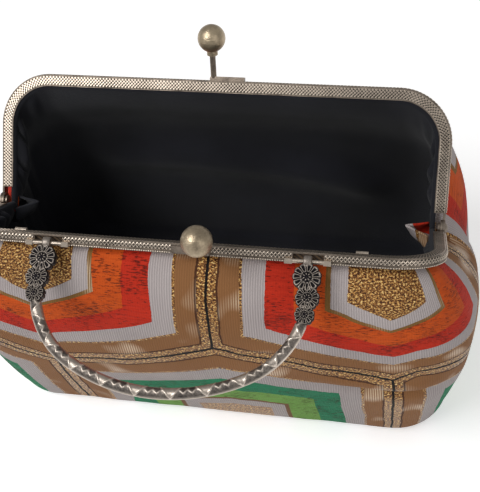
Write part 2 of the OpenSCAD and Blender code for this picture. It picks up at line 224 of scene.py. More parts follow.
# worn metal: dark patina stays in the low places, high ones are rubbed bright
wornMetal, wornIn, wornOut = newGroup(
    "wornMetal",
    [("Relief", "Float", 0.5), ("Light", "Color", (0.5, 0.5, 0.4, 1)), ("Dark", "Color", (0.03, 0.03, 0.02, 1)),
     ("Patch Size", "Float", 120.0), ("Wear", "Float", 0.5)],
    [("Colour", "Color"), ("Roughness", "Float"), ("Height", "Float")])
spot = wornMetal.noise(wornMetal.place(), wornIn["Patch Size"], 4.0, 0.6)
fineSpot = wornMetal.noise(wornMetal.place(), 1400.0, 2.0, 0.6)
patchy = wornMetal.math("MULTIPLY", wornMetal.math("SUBTRACT", spot, 0.5), wornIn["Wear"])
level = wornMetal.math("ADD", wornIn["Relief"], patchy)
level = wornMetal.math("ADD", level, wornMetal.math("MULTIPLY", wornMetal.math("SUBTRACT", fineSpot, 0.5), 0.25))
share = wornMetal.spread(level, 0.18, 0.72)
wornMetal.feed(wornOut["Colour"], wornMetal.mix(share, wornIn["Dark"], wornIn["Light"]))
wornMetal.feed(wornOut["Roughness"], wornMetal.math("SUBTRACT", 0.58, wornMetal.math("MULTIPLY", share, 0.26)))
wornMetal.feed(wornOut["Height"], wornMetal.math("ADD", fineSpot, spot))

# woven ground: ribs along the cloth and fine threads across it
ribWeave, ribIn, ribOut = newGroup(
    "ribWeave",
    [("U", "Float", 0.0), ("V", "Float", 0.0), ("Rib Pitch", "Float", 0.001), ("Thread Pitch", "Float", 0.0005)],
    [("Ribs", "Float"), ("Threads", "Float"), ("Height", "Float")])
acrossRibs = ribWeave.math("MULTIPLY", ribIn["U"], 6.28318)
acrossThreads = ribWeave.math("MULTIPLY", ribIn["V"], 6.28318)
ribs = ribWeave.math("SINE", ribWeave.math("DIVIDE", acrossRibs, ribIn["Rib Pitch"]))
threads = ribWeave.math("SINE", ribWeave.math("DIVIDE", acrossThreads, ribIn["Thread Pitch"]))
ribs = ribWeave.math("MULTIPLY_ADD", ribs, 0.5, 0.5)
threads = ribWeave.math("MULTIPLY_ADD", threads, 0.5, 0.5)
ribWeave.feed(ribOut["Ribs"], ribs)
ribWeave.feed(ribOut["Threads"], threads)
ribWeave.feed(ribOut["Height"], ribWeave.math("MULTIPLY_ADD", ribs, 0.7, ribWeave.math("MULTIPLY", threads, 0.3)))
print("stage: shading helpers ready")

# stage, light and camera
stage = {"floorTone": (0.93, 0.93, 0.93, 1), "keyPower": 7.0, "fillPower": 2.4, "worldTone": 0.36,
         "cameraAt": (0.08555, -0.23735, 0.43335), "lens": 67.68}
floorMaterial, graph, shader = newMaterial("paleFloor", Roughness=0.9, **{"Emission Strength": 0.4})
shader["Base Color"].default_value = stage["floorTone"]
seen = graph.add("ShaderNodeLightPath").outputs
graph.feed(shader["Emission Color"], graph.math("MAXIMUM", seen["Is Camera Ray"], seen["Is Glossy Ray"]))
corners = [(-3, -3, -0.0002), (3, -3, -0.0002), (3, 3, -0.0002), (-3, 3, -0.0002)]
floor = makePiece("floor", corners, [(0, 1, 2, 3)], floorMaterial)

world = bpy.data.worlds.new("studio")
scene.world = world
world.use_nodes = True
graph = Graph(world.node_tree)
world.node_tree.nodes.clear()
path = graph.add("ShaderNodeLightPath").outputs
plain = graph.math("MAXIMUM", path["Is Camera Ray"], path["Is Transmission Ray"])
strength = graph.math("MULTIPLY_ADD", plain, 1 - stage["worldTone"], stage["worldTone"])
background = graph.add("ShaderNodeBackground", {"Color": (1, 1, 1, 1), "Strength": strength})
graph.tree.links.new(background.outputs[0], graph.add("ShaderNodeOutputWorld").inputs[0])


def softLamp(name, at, aim, size, power, tone=(1, 1, 1)):
    lamp = bpy.data.lights.new(name, "AREA")
    lamp.shape, lamp.size, lamp.energy, lamp.color = "DISK", size, power, tone
    holder = bpy.data.objects.new(name, lamp)
    scene.collection.objects.link(holder)
    holder.location = at
    holder.rotation_euler = (Vector(aim) - Vector(at)).to_track_quat("-Z", "Y").to_euler()


softLamp("keyLamp", (-0.55, -0.35, 1.0), (0, 0, 0.08), 0.7, stage["keyPower"])
softLamp("fillLamp", (0.8, -0.7, 0.7), (0, 0, 0.08), 0.8, stage["fillPower"])

camera = bpy.data.objects.new("camera", bpy.data.cameras.new("camera"))
scene.collection.objects.link(camera)
scene.camera = camera
cameraAxes = ((0.9823, 0.1543, -0.1062), (-0.0696, 0.8273, 0.5574), (0.1739, -0.5402, 0.8234))
turn = np.array(cameraAxes).T
u, _, vt = np.linalg.svd(turn)
turn = u @ vt
camera.matrix_world = Matrix.Translation(stage["cameraAt"]) @ Matrix(turn.tolist()).to_4x4()
camera.data.sensor_fit, camera.data.sensor_height, camera.data.lens = "VERTICAL", 36.0, stage["lens"]
camera.data.clip_start = 0.01
scene.view_settings.view_transform = "Standard"
print("stage: light and camera ready")

# metals
metals = {
    "lattice": {"light": colour(224, 208, 190), "dark": colour(22, 17, 15), "patch": 90.0, "wear": 0.35},
    "plain": {"light": colour(172, 157, 142), "dark": colour(46, 39, 35), "patch": 160.0, "wear": 0.9},
    "ball": {"light": colour(196, 178, 150), "dark": colour(58, 48, 40), "patch": 70.0, "wear": 1.0},
    "cast": {"light": colour(206, 193, 180), "dark": colour(22, 20, 24), "patch": 240.0, "wear": 0.3},
    "bright": {"light": colour(206, 192, 176), "dark": colour(70, 62, 52), "patch": 200.0, "wear": 0.8},
}


def metalMaterial(name, kind, relief):
    look = metals[kind]
    material, graph, shader = newMaterial(name, Metallic=0.88)
    level = graph.attribute("relief") if relief is None else relief
    worn = useGroup(graph, wornMetal, {"Relief": level, "Light": look["light"], "Dark": look["dark"],
                                       "Patch Size": look["patch"], "Wear": look["wear"]})
    graph.feed(shader["Base Color"], worn["Colour"])
    graph.feed(shader["Roughness"], worn["Roughness"])
    return material, graph, shader, worn


latticeBrass, graph, shader, worn = metalMaterial("latticeBrass", "lattice", None)
graph.feed(shader["Normal"], bump(graph, worn["Height"], 0.00004))
plainBrass, graph, shader, worn = metalMaterial("plainBrass", "plain", 0.45)
graph.feed(shader["Normal"], bump(graph, worn["Height"], 0.00008))
castBrass, graph, shader, worn = metalMaterial("castBrass", "cast", None)
graph.feed(shader["Normal"], bump(graph, worn["Height"], 0.00006))
brightWire, graph, shader, worn = metalMaterial("brightWire", "bright", 0.62)
graph.feed(shader["Normal"], bump(graph, worn["Height"], 0.00005))
brushedBall, graph, shader, worn = metalMaterial("brushedBall", "ball", 0.5)
stretch = graph.add("ShaderNodeMapping",
                    {"Vector": graph.place(), "Scale": (1.0, 0.35, 4.0), "Rotation": (0.5, 0.4, 0.2)})
scratches = graph.noise(stretch.outputs[0], 420.0, 3.0, 0.7)
graph.feed(shader["Roughness"], graph.math("MULTIPLY_ADD", scratches, 0.3, 0.22))
graph.feed(shader["Normal"], bump(graph, scratches, 0.00022))


def dress(material, *names):
    for name in names:
        mesh = nodes[name].data
        mesh.materials.clear()
        mesh.materials.append(material)


dress(plainBrass, "back_frame", "front_frame", "hinge_rivet_left", "hinge_rivet_right", "back_clasp_arm",
      "front_clasp_arm")
dress(brushedBall, "back_clasp_ball", "front_clasp_ball")
dress(brightWire, "handle_staple_left", "handle_staple_right", "chain_lug_left", "chain_lug_right")
print("stage: metals ready")

# brocade: nested hexagons, two to the width of the cloth, each ring with its own thread
brocade = {
    "pitch": 0.150, "rowPitch": 0.130, "borderU": 0.0098, "centreV": 0.0033,
    "ribPitch": 0.00105, "threadPitch": 0.0006,
    # distance from the hexagon's border in mm, and the thread that starts there
    "rings": [(0.0, "black"), (0.55, "gold"), (4.1, "edge"), (4.8, "brown"), (13.2, "goldLine"), (14.5, "grey"),
              (24.0, "outer"), (36.0, "inner"), (48.5, "thinBrown"), (50.6, "grey"), (57.6, "goldLine"),
              (59.4, "gold")],
    "warm": {"edge": (78, 46, 26), "black": (16, 12, 10), "gold": (176, 126, 66), "brown": (146, 101, 62),
             "goldLine": (200, 152, 92), "grey": (196, 186, 184), "outer": (202, 48, 24), "inner": (212, 88, 24),
             "thinBrown": (134, 98, 50)},
    "cool": {"edge": (78, 46, 26), "black": (16, 12, 10), "gold": (176, 126, 66), "brown": (146, 101, 62),
             "goldLine": (200, 152, 92), "grey": (190, 180, 178), "outer": (22, 130, 88), "inner": (120, 172, 80),
             "thinBrown": (120, 84, 52)},
    # red: glitter, green: ribbed, blue: long floats
    "kinds": {"edge": (0, 0.2, 0), "black": (0, 0, 0), "gold": (1, 0, 0), "brown": (0.0, 0.45, 0),
              "goldLine": (1, 0, 0), "grey": (0, 1, 0), "outer": (0, 0, 1), "inner": (0, 0, 1),
              "thinBrown": (0, 0.4, 0)},
}


def hexDistance(graph, u, v):  # from the middle of a hexagon that stands on its point
    across = graph.math("ABSOLUTE", u)
    slant = graph.math("MULTIPLY_ADD", across, 0.5, graph.math("MULTIPLY", graph.math("ABSOLUTE", v), 0.8660254))
    return graph.math("MAXIMUM", across, slant)


def brocadeMaterial(name):
    surface = {"Sheen Weight": 0.02, "Sheen Roughness": 0.5, "Specular IOR Level": 0.2}
    material, graph, shader = newMaterial(name, **surface)
    rawU, rawV = graph.attribute("clothU"), graph.attribute("clothV")
    flat = graph.point(rawU, rawV)
    ripple = graph.math("SUBTRACT", graph.noise(flat, 700.0, 2.0), 0.5)
    slow = graph.math("SUBTRACT", graph.noise(flat, 60.0, 1.0), 0.5)
    u = graph.math("MULTIPLY_ADD", slow, 0.0022, graph.math("MULTIPLY_ADD", ripple, 0.0006, rawU))
    v = graph.math("MULTIPLY_ADD", slow, -0.0018, graph.math("MULTIPLY_ADD", ripple, -0.0006, rawV))
    pitch, row = brocade["pitch"], brocade["rowPitch"]
    warmU = graph.math("WRAP", graph.math("SUBTRACT", u, brocade["borderU"] + pitch / 2), pitch / 2, -pitch / 2)
    coolU = graph.math("WRAP", graph.math("SUBTRACT", u, brocade["borderU"]), pitch / 2, -pitch / 2)
    warmV = graph.math("WRAP", graph.math("SUBTRACT", v, brocade["centreV"]), row, -row)
    coolV = graph.math("WRAP", graph.math("SUBTRACT", v, brocade["centreV"] + row), row, -row)
    warm = hexDistance(graph, warmU, warmV)
    cool = hexDistance(graph, coolU, coolV)
    isCool = graph.math("LESS_THAN", cool, warm)
    edge = graph.math("DIVIDE", graph.math("SUBTRACT", pitch / 2, graph.math("MINIMUM", warm, cool)), pitch / 2)
    edge = graph.math("MAXIMUM", edge, 0.0)
    stops = {}
    for key in ("warm", "cool", "kinds"):
        table = brocade[key]
        stops[key] = [(at / (pitch * 500), (colour(*table[ring]) if key != "kinds" else table[ring] + (1,)))
                      for at, ring in brocade["rings"]]
    tone = graph.mix(isCool, graph.ramp(edge, stops["warm"]), graph.ramp(edge, stops["cool"]))
    kinds = graph.add("ShaderNodeSeparateColor", {"Color": graph.ramp(edge, stops["kinds"])}).outputs
    glitter, ribbed, floats = kinds["Red"], kinds["Green"], kinds["Blue"]
    weave = useGroup(graph, ribWeave, {"U": rawU, "V": rawV, "Rib Pitch": brocade["ribPitch"],
                                       "Thread Pitch": brocade["threadPitch"]})
    # ribs shade the ground cloth
    gap = graph.math("MULTIPLY", graph.math("SUBTRACT", 1.0, weave["Ribs"]), graph.math("MULTIPLY", ribbed, 0.42))
    tone = graph.mix(gap, tone, graph.mix(1.0, tone, (0.35, 0.33, 0.34, 1), "MULTIPLY"))
    # long floats part and show short dark gaps
    fleckPlace = graph.point(graph.math("MULTIPLY", rawU, 330.0), graph.math("MULTIPLY", rawV, 1700.0))
    fleck = graph.noise(fleckPlace, 1.0, 3.0, 0.62)
    patches = graph.spread(graph.noise(flat, 55.0, 2.0), 0.3, 0.75)
    cut = graph.math("SUBTRACT", 0.66, graph.math("MULTIPLY", patches, 0.20))
    dark = graph.math("MULTIPLY", graph.spread(graph.math("SUBTRACT", fleck, cut), 0.0, 0.10), floats)
    linePlace = graph.point(graph.math("MULTIPLY", rawU, 90.0), graph.math("MULTIPLY", rawV, 900.0), 3.0)
    shadeLine = graph.noise(linePlace, 1.0, 2.0)
    lineShare = graph.math("MULTIPLY", graph.math("MULTIPLY", floats, 0.5), graph.spread(shadeLine, 0.35, 0.75))
    tone = graph.mix(lineShare, tone, graph.mix(1.0, tone, (0.62, 0.42, 0.4, 1), "MULTIPLY"))
    tone = graph.mix(graph.math("MULTIPLY", dark, 0.78), tone, (0.07, 0.012, 0.008, 1))
    # foil thread in the gold, with painted glints in its colour, and foil in patches of the brown, with painted
    # reflection stripes on its ribs
    sparklePlace = graph.point(graph.math("MULTIPLY", rawU, 950.0), graph.math("MULTIPLY", rawV, 1300.0), 7.0)
    sparkle = graph.noise(sparklePlace, 1.0, 3.0, 0.75)
    # the foil colour runs from dark to near white: its bright end is painted glints, not the thread's own tone
    foilWithPaintedGlints = graph.ramp(sparkle, [(0.0, colour(34, 17, 8)), (0.44, colour(72, 42, 22)), (0.51, colour(142, 94, 50)),
                                (0.57, colour(220, 160, 82)), (0.63, colour(255, 230, 158))], False)
    tone = graph.mix(glitter, tone, foilWithPaintedGlints)
    halfRibbed = graph.math("MULTIPLY", ribbed, graph.math("SUBTRACT", 1.0, ribbed))
    brownPart = graph.math("GREATER_THAN", halfRibbed, 0.1)
    nearFrame = graph.math("SUBTRACT", 1.0, graph.spread(rawV, 0.004, 0.034))
    foilPlace = graph.math("MULTIPLY_ADD", nearFrame, 0.14, graph.noise(flat, 42.0, 1.0))
    # foil patches in the brown, more of them near the frame; they are metallic, and the pale colour mixed onto their
    # ribs is a painted reflection
    foilPatchWithPaintedSheen = graph.math("MULTIPLY", brownPart, graph.spread(foilPlace, 0.57, 0.70))
    paintedSheenStripe = graph.math("MULTIPLY", foilPatchWithPaintedSheen, weave["Ribs"])
    tone = graph.mix(graph.math("MULTIPLY", paintedSheenStripe, 0.7), tone, colour(236, 214, 184))
    # slow unevenness of dye and handling
    handled = graph.mix(1.0, tone, (0.80, 0.78, 0.78, 1), "MULTIPLY")
    tone = graph.mix(graph.spread(graph.noise(flat, 28.0, 3.0), 0.2, 0.9), tone, handled)
    graph.feed(shader["Base Color"], tone)
    foiled = graph.math("MAXIMUM", glitter, foilPatchWithPaintedSheen)
    graph.feed(shader["Metallic"], graph.math("MULTIPLY", foiled, 0.22))
    graph.feed(shader["Roughness"], graph.math("SUBTRACT", 0.78, graph.math("MULTIPLY", foiled, 0.42)))
    woven = graph.math("MULTIPLY", weave["Height"], graph.math("MULTIPLY_ADD", ribbed, 0.8, 0.2))
    height = graph.math("ADD", woven, graph.math("MULTIPLY", sparkle, graph.math("MULTIPLY", glitter, 2.2)))
    height = graph.math("SUBTRACT", height, graph.math("MULTIPLY", dark, 1.2))
    height = graph.math("ADD", height, graph.math("MULTIPLY", graph.math("MULTIPLY", shadeLine, floats), 1.6))
    graph.feed(shader["Normal"], bump(graph, height, 0.00022))
    return material


frontBrocade = brocadeMaterial("frontBrocade")

# lining: fine black twill
surface = {"Sheen Weight": 0.09, "Sheen Roughness": 0.4, "Specular IOR Level": 0.2}
liningCloth, graph, shader = newMaterial("liningCloth", **surface)
spotPlace = graph.place()
twill = graph.add("ShaderNodeTexWave", {"Vector": spotPlace, "Scale": 900.0, "Distortion": 1.5, "Detail": 2.0},
                  wave_type="BANDS", bands_direction="DIAGONAL").outputs["Fac"]
cloudy = graph.spread(graph.noise(spotPlace, 24.0, 3.0), 0.3, 0.75)
share = graph.math("MULTIPLY_ADD", twill, 0.35, graph.math("MULTIPLY", cloudy, 0.5))
graph.feed(shader["Base Color"], graph.mix(share, colour(15, 15, 18), colour(48, 49, 57)))
shader["Roughness"].default_value = 0.82
graph.feed(shader["Normal"], bump(graph, twill, 0.00012))

boardCloth, graph, shader = newMaterial("boardCloth", Roughness=0.85)
fibre = graph.noise(graph.place(), 600.0, 3.0, 0.6)
graph.feed(shader["Base Color"], graph.mix(fibre, colour(60, 48, 38), colour(110, 92, 72)))
graph.feed(shader["Normal"], bump(graph, fibre, 0.0001))
cordPaper, graph, shader = newMaterial("cordPaper", Roughness=0.9)
twist = graph.add("ShaderNodeTexWave", {"Vector": graph.place(), "Scale": 260.0, "Distortion": 2.0},
                  bands_direction="DIAGONAL").outputs["Fac"]
graph.feed(shader["Base Color"], graph.mix(twist, colour(38, 28, 20), colour(96, 76, 54)))
graph.feed(shader["Normal"], bump(graph, twist, 0.0002))
dress(boardCloth, "base_board")
dress(cordPaper, "back_paper_cord", "front_paper_cord")
print("stage: cloths ready")

# frame relief: a diamond lattice on the three faces of each half
lattice = {"pitch": 0.0015, "sharp": 13, "low": 0.00004, "high": 0.00030, "innerHigh": 0.00012,
           "border": 0.00035, "crown": 0.0003,
           "rimFrom": 0.0003, "rimTo": 0.0027, "beadFrom": 0.0034, "beadTo": 0.0041, "beadPitch": 0.00094}
flatHalf = bag["halfW"] - bag["cornerR"]
shoulderV = bag["frameH"] - bag["cornerR"]
legLong = shoulderV - bag["legStart"]
arcLong = math.pi / 2 * (bag["cornerR"] - bag["bandW"] / 2)
pathLong = 2 * (legLong + arcLong + flatHalf)


def archPoint(s, inset):  # s runs from the right leg's foot over the top to the left one's
    side = 1 if s < pathLong / 2 else -1
    s = min(s, pathLong - s)
    r = bag["cornerR"] - inset
    if s < legLong:
        return side * (bag["halfW"] - inset), bag["legStart"] + s, side, 0.0
    if s < legLong + arcLong:
        turn = (s - legLong) / arcLong * math.pi / 2
        c, n = math.cos(turn), math.sin(turn)
        return side * (flatHalf + r * c), shoulderV + r * n, side * c, n
    return side * (flatHalf - (s - legLong - arcLong)), shoulderV + r, 0.0, 1.0


def diamond(s, t, pitch):
    a, b = (s + t) / pitch, (s - t) / pitch
    return max(abs(math.cos(math.pi * a)), abs(math.cos(math.pi * b))) ** lattice["sharp"]


def latticeSkin(name, side):
    points, faces, relief = [], [], []
    step = lattice["pitch"] / 4
    columns = int(round(pathLong / step)) + 1
    rim = lattice["rimTo"] - lattice["rimFrom"]
    band = bag["bandW"] - 2 * lattice["border"]
    beads = lattice["beadTo"] - lattice["beadFrom"]
    outerDepth = bag["gap"] + bag["bandT"]
    for zone, width in (("inner", band), ("rim", rim), ("bead", beads), ("outer", band)):
        rows = max(int(round(width / step)), 4) + 3
        start = len(points)
        keep = []
        for i in range(columns):
            s = i * pathLong / (columns - 1)
            for j in range(rows):
                t = min(max((j - 1) / (rows - 3), 0), 1) * width
                edge = j in (0, rows - 1) or i in (0, columns - 1)
                if zone == "bead":
                    level = math.cos(math.pi * s / lattice["beadPitch"]) ** 2
                    level *= math.sin(math.pi * t / width) ** 0.5
                else:
                    level = diamond(s, t - width / 2, lattice["pitch"])
                level = 0.45 if (j in (1, rows - 2) and zone != "bead") else level
                # the inner faces meet when closed
                high = lattice["innerHigh"] if zone == "inner" else lattice["high"]
                up = -0.0001 if edge else lerp(lattice["low"], high, level)
                if zone == "inner":
                    x, v, nx, nv = archPoint(s, lattice["border"] + t)
                    points.append(onHalf(x, bag["gap"] - up, v, side))
                elif zone == "outer":
                    x, v, nx, nv = archPoint(s, lattice["border"] + t)
                    points.append(onHalf(x, outerDepth + up, v, side))
                else:
                    low = lattice["rimFrom"] if zone == "rim" else lattice["beadFrom"]
                    x, v, nx, nv = archPoint(s, 0)
                    crown = lattice["crown"] * (1 - (2 * t / width - 1) ** 2) if zone == "rim" and not edge else 0
                    points.append(onHalf(x + nx * (up + crown), bag["gap"] + low + t, v + nv * (up + crown), side))
                relief.append(0.15 if edge else 0.08 + 0.92 * level)
                nearEye = side == front and abs(abs(x - bag["handleX"]) - bag["eyeX"]) < bag["notchHalf"] + 0.0002
                depth = {"inner": 0, "rim": bag["gap"] + lattice["rimFrom"] + t}.get(zone, outerDepth)
                highUp, deepIn = bag["wireV"] - bag["notchR"], bag["wireDepth"] - bag["notchR"]
                keep.append(not (nearEye and v > highUp and depth > deepIn))
        for face in gridFaces(columns, rows, start):
            if all(keep[k - start] for k in face):
                faces.append(face if (zone == "inner") == (side == back) else face[::-1])
    piece = makePiece(name, points, faces, latticeBrass, {"relief": relief})
    settle(piece, bodyOf[side], "frame_metal")


latticeSkin("backLattice", back)
latticeSkin("frontLattice", front)
print("stage: frame relief ready")

# handle: cast relief round the rod and on the flowers
cast = {
    "drop": 0.0558, "rodR": 0.00212, "rodTop": 0.0228, "middleR": 0.074, "cornerR": 0.0365, "upperR": 0.045,
    "bow": 0.0013,
    "flowerD": (0.011, 0.0092, 0.0076), "flowerDrop": (0.0066, 0.0146, 0.0212), "flowerX": 0.0004,
    "faceY": 0.00144,
    "petals": 11, "tilt": math.radians(74), "chevron": 0.0136, "teeth": 4, "ridge": 0.00042,
    # an eye's section: along the wire, and from its middle
    "eye": [(-1.6, 1.3), (-1.35, 1.12), (1.35, 1.12), (1.6, 1.3), (1.6, 2.1), (1.3, 2.4), (0.5, 2.5), (-0.5, 2.5),
            (-1.3, 2.4), (-1.6, 2.1)],
    "neck": [(1.2, 1.3), (1.9, 1.9), (2.7, 1.45), (3.6, 1.35), (5.0, 1.6)],
}
pivot = onHalf(bag["handleX"], bag["wireDepth"], bag["wireV"], front)


def onHandle(x, y, z):  # the handle's own plane, set out in its resting tilt
    c, s = math.cos(cast["tilt"]), math.sin(cast["tilt"])
    return pivot + Vector((x, c * y + s * z, -s * y + c * z))


middleA = math.asin((bag["eyeX"] + cast["bow"] - cast["cornerR"]) / (cast["middleR"] - cast["cornerR"]))
reach = cast["middleR"] - cast["cornerR"]
middleArc = (0.0, cast["drop"] - cast["middleR"], cast["middleR"])
cornerArc = (reach * math.sin(middleA), middleArc[1] + reach * math.cos(middleA), cast["cornerR"])
upperArc = (cornerArc[0] + cast["cornerR"] - cast["upperR"], cornerArc[1], cast["upperR"])
upperA = math.asin((upperArc[1] - cast["flowerDrop"][1]) / cast["upperR"])
halfRod = (cast["middleR"] * middleA, cast["cornerR"] * (math.pi / 2 - middleA), cast["upperR"] * upperA)


def rodPlace(s):  # from the middle of the rod to its right end, or to its left one where s is negative
    side, s = (-1 if s < 0 else 1), abs(s)
    if s < halfRod[0]:
        arc, a = middleArc, s / cast["middleR"]
    elif s < halfRod[0] + halfRod[1]:
        arc, a = cornerArc, middleA + (s - halfRod[0]) / cast["cornerR"]
    else:
        arc, a = upperArc, math.pi / 2 + (s - halfRod[0] - halfRod[1]) / cast["upperR"]
    return side * (arc[0] + arc[2] * math.sin(a)), -(arc[1] + arc[2] * math.cos(a)), side * a


def rodRelief(s, theta):  # gives the height and the brightness of the casting
    across = (theta + math.pi) / math.pi  # over the upper side, 0 at the inner edge and 1 at the outer one
    if not 0.0 <= across <= 1.0:
        return 0.0, 0.3
    place = (s / cast["chevron"]) % 1.0 - 0.5
    small = (s / cast["chevron"] * cast["teeth"]) % 1.0 - 0.5
    rail = math.exp(-((across - 0.88) / 0.06) ** 2)
    tip = 0.80 - 0.62 * abs(place) / 0.27
    chevron = smooth(1 - abs(across - tip) / 0.13) if abs(place) < 0.3 else 0.0
    inside = 0.45 * smooth((tip - across) / 0.1) if abs(place) < 0.27 else 0.0
    teeth = 0.55 * smooth(1 - abs(across - 0.56 + 0.5 * abs(small)) / 0.12) if abs(place) > 0.22 else 0.0
    inner = 0.35 * math.exp(-((across - 0.06) / 0.08) ** 2)
    level = max(rail, chevron, inside, teeth, inner)
    return level, 0.30 + 0.58 * max(level, 0.3 * smooth((across - 0.9) / 0.1))


def rodSleeve():
    total = sum(halfRod)
    while -rodPlace(total)[1] < cast["rodTop"]:
        total -= 0.0001
    rings, spokes = 420, 56
    points, relief = [], []
    for i in range(rings):
        s = lerp(-total, total, i / (rings - 1))
        x, z, a = rodPlace(s)
        for k in range(spokes):
            theta = -math.pi + 2 * math.pi * k / spokes
            lift, level = rodRelief(s, theta)
            r = (cast["rodR"] + cast["ridge"] * lift) * (1 - 0.32 * smooth(1 - (total - abs(s)) / 0.003))
            out = r * math.cos(theta)
            points.append(onHandle(x + out * math.sin(a), r * math.sin(theta), z - out * math.cos(a)))
            relief.append(level)
    piece = makePiece("handleRelief", points, ringFaces(rings, spokes), castBrass, {"relief": relief})
    settle(piece, "handle", "handle_metal", "handle")


def handleEye(name, x):
    points, faces, spokes = [], [], 40
    for k in range(spokes):
        turn = 2 * math.pi * k / spokes
        c, s = math.cos(turn), math.sin(turn)
        points += [onHandle(x + a / 1000, r / 1000 * c, r / 1000 * s) for a, r in cast["eye"]]
    each = len(cast["eye"])
    for k in range(spokes):
        for j in range(each):
            a, b = k * each + j, k * each + (j + 1) % each
            c, d = ((k + 1) % spokes) * each + j, ((k + 1) % spokes) * each + (j + 1) % each
            faces.append((a, b, d, c))
    start = len(points)
    for drop, r in cast["neck"]:
        for k in range(spokes):
            turn = 2 * math.pi * k / spokes
            points.append(onHandle(x + r / 1000 * math.cos(turn), r / 1000 * math.sin(turn), -drop / 1000))
    faces += ringFaces(len(cast["neck"]), spokes, start)
    piece = makePiece(name, points, faces, castBrass, {"relief": [0.42] * len(points)})
    settle(piece, "handle", "handle_metal", "handle")


def flowerCap(name, x, drop, d):
    rings, spokes = 18, cast["petals"] * 14
    points, relief, radius = [], [], d / 2
    for i in range(rings + 2):
        for k in range(spokes):
            angle = 2 * math.pi * k / spokes
            a = (cast["petals"] * angle / (2 * math.pi)) % 1.0 * 2 - 1
            edge = radius * (0.90 + 0.12 * math.sqrt(max(1 - a * a, 0)))
            q = min(i / (rings - 1), 1.0)
            r = edge * q
            near = min(1 - abs(a), (1 - q) * 4.2, max(q - 0.36, 0) * 5.0)
            ridge = math.exp(-((near - 0.36) / 0.20) ** 2)
            hollow = 0.35 if near > 0.5 else 0.0
            height = 0.00012 + 0.00075 * ridge * (1 - 0.25 * q) + 0.0002 * hollow
            level = 0.04 + 0.5 * max(ridge, hollow * 0.5)
            if q < 0.36:
                dot = max(math.cos(angle * 7), 0) * smooth(1 - abs(q - 0.22) / 0.12)
                height = 0.0004 + 0.0005 * math.sqrt(max(1 - (q / 0.36) ** 2, 0)) + 0.0003 * dot
                level = 0.14 + 0.5 * dot
            if i >= rings:
                height = (-0.0006, -2 * cast["faceY"])[i - rings]
                r, level = edge * (1.015, 0.97)[i - rings], 0.2
            up = cast["faceY"] + height
            points.append(onHandle(x + r * math.cos(angle), -up, -drop + r * math.sin(angle)))
            relief.append(level)
    faces = ringFaces(rings + 2, spokes)
    points.append(onHandle(x, cast["faceY"] + 0.0002, -drop))  # the flower's plain back
    relief.append(0.3)
    last = (rings + 1) * spokes
    faces += [(last + k, last + (k + 1) % spokes, len(points) - 1) for k in range(spokes)]
    piece = makePiece(name, points, faces, castBrass, {"relief": relief})
    settle(piece, "handle", "handle_metal", "handle")


rodSleeve()
for side, label in ((-1, "Left"), (1, "Right")):
    handleEye("handleEye" + label, side * bag["eyeX"])
    for k, (d, drop) in enumerate(zip(cast["flowerD"], cast["flowerDrop"])):
        x = bag["eyeX"] + cast["flowerX"]
        if k > 0:
            x = upperArc[0] + math.sqrt(cast["upperR"] ** 2 - (upperArc[1] - drop) ** 2)
        flowerCap("flower" + label + str(k + 1), side * x, drop, d)
print("stage: handle relief ready")

# soft walls: close to the CAD walls, with finer folds; the back is straighter beside its legs
walls = {
    "columns": 96, "rows": 92, "rowBias": 1.35, "hemRound": 0.0055, "hemZ": 0.0013, "pucker": 0.0003,
    "puckerPitch": 0.0075, "unevenness": 0.0011, "sheetThick": 0.0012,
    "tuck": ((0.0020, -0.0010), (0.0027, -0.0002), (0.0036, 0.0006), (0.0046, 0.0007), (0.0055, 0.0003)),
    "creaseU": (0.045, 0.112), "creaseV": 0.026, "creaseDepth": 0.0030, "creaseWide": 0.0045,
    "blendFar": 0.055, "blendNear": 0.007,
    # along the front, how much length of the pattern is taken up between the frame and the belly
    "takenUp": [(-0.150, 0.006), (-0.085, 0.020), (-0.059, 0.0195), (-0.033, 0.0096), (-0.021, 0.0059),
                (0.0, 0.0020), (0.0098, 0.0010), (0.0256, 0.0085), (0.0466, 0.0173), (0.0669, 0.0246), (0.0826, 0.0310),
                (0.0950, 0.0340), (0.1120, 0.0200), (0.1300, 0.0040), (0.1600, 0.0)],
    "takenFrom": 0.012, "takenOver": 0.044, "seamShift": 0.005,
}
around = 4 * walls["columns"]


def takenUp(u, v):
    spots = walls["takenUp"]
    u = min(max(u, spots[0][0]), spots[-1][0])
    for (a, low), (b, high) in zip(spots, spots[1:]):
        if u <= b:
            return lerp(low, high, (u - a) / (b - a)) * smooth((v - walls["takenFrom"]) / walls["takenOver"])
    return 0.0


def rimFlat(w, inset, out):
    a, top = innerX - inset, innerV - inset + 0.0002
    r, low = bag["cornerR"] - bag["bandW"], -out / math.tan(bag["lean"])
    if w < bag["legShare"]:
        return a, lerp(low, top - r, w / bag["legShare"])
    if w < bag["cornerShare"]:
        turn = math.pi / 2 * (w - bag["legShare"]) / (bag["cornerShare"] - bag["legShare"])
        return a - r + r * math.cos(turn), top - r + r * math.sin(turn)
    return (a - r) * (1 - w) / (1 - bag["cornerShare"]), top


def baseFlat(w, inset):
    a, d, r = bag["baseW"] / 2 - inset, bag["baseDepth"] / 2 - inset, bag["baseR"] - inset
    if w < bag["legShare"]:
        return a, -(d - r) * w / bag["legShare"]
    if w < bag["cornerShare"]:
        turn = math.pi / 2 * (w - bag["legShare"]) / (bag["cornerShare"] - bag["legShare"])
        return a - r + r * math.cos(turn), -(d - r) - r * math.sin(turn)
    return (a - r) * (1 - w) / (1 - bag["cornerShare"]), -d


def aroundBase(i, inset):  # counter-clockwise from the middle of the right side
    q = 1 - (i % (around // 2)) / walls["columns"]
    x, y = baseFlat(1 - abs(q), inset)
    x = x if q >= 0 else -x
    return (-x, -y) if i >= around // 2 else (x, y)


def rimPlace(w, inset, out):  # on the front half, right side
    x, v = rimFlat(w, inset, out)
    return onHalf(x, out, v, front)


